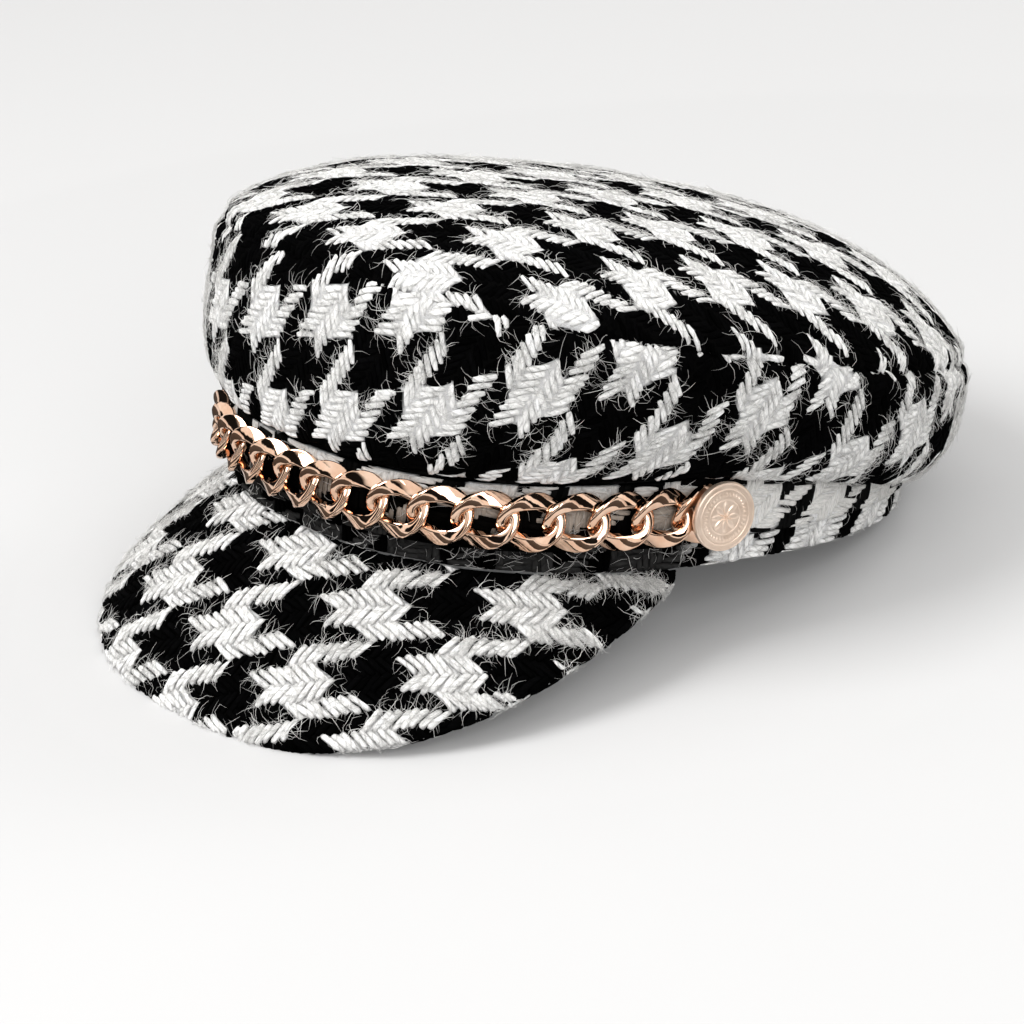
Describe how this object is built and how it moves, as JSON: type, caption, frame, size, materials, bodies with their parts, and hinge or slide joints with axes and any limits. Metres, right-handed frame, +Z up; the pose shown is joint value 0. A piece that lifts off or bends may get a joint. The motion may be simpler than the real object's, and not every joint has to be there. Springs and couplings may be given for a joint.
{
  "type": "cadet cap",
  "caption": "Soft tweed cadet cap with a domed crown that swells over a low band, a curved peak and a curb chain between two round buttons.",
  "frame": {"origin": "centre of the underside of the cap's bounding box as it rests, on the surface that it rests on", "axes": "+Z up, -Y towards the front and its peak, +X towards the wearer's left. The band is tipped back about 12 degrees, because the cap rests on the rear of its band and the front of its peak"},
  "size_m": [0.2026, 0.2662, 0.1239],
  "materials": {
    "tweed": "coarse brushed wool tweed in black and off-white houndstooth",
    "rose_gold": "polished rose gold plating"
  },
  "bodies": {
    "root": {"button_left": "rose_gold", "button_right": "rose_gold", "chain_link_01": "rose_gold", "chain_link_02": "rose_gold", "chain_link_03": "rose_gold", "chain_link_04": "rose_gold", "chain_link_05": "rose_gold", "chain_link_06": "rose_gold", "chain_link_07": "rose_gold", "chain_link_08": "rose_gold", "chain_link_09": "rose_gold", "chain_link_10": "rose_gold", "chain_link_11": "rose_gold", "chain_link_12": "rose_gold", "chain_link_13": "rose_gold", "chain_link_14": "rose_gold", "chain_link_15": "rose_gold", "chain_link_16": "rose_gold", "chain_link_17": "rose_gold", "chain_link_18": "rose_gold", "chain_link_19": "rose_gold", "chain_link_20": "rose_gold", "chain_link_21": "rose_gold", "chain_link_22": "rose_gold", "crown_side": "tweed", "crown_top": "tweed", "hat_strap": "tweed", "head_band": "tweed", "peak": "tweed"}
  },
  "joints": []
}
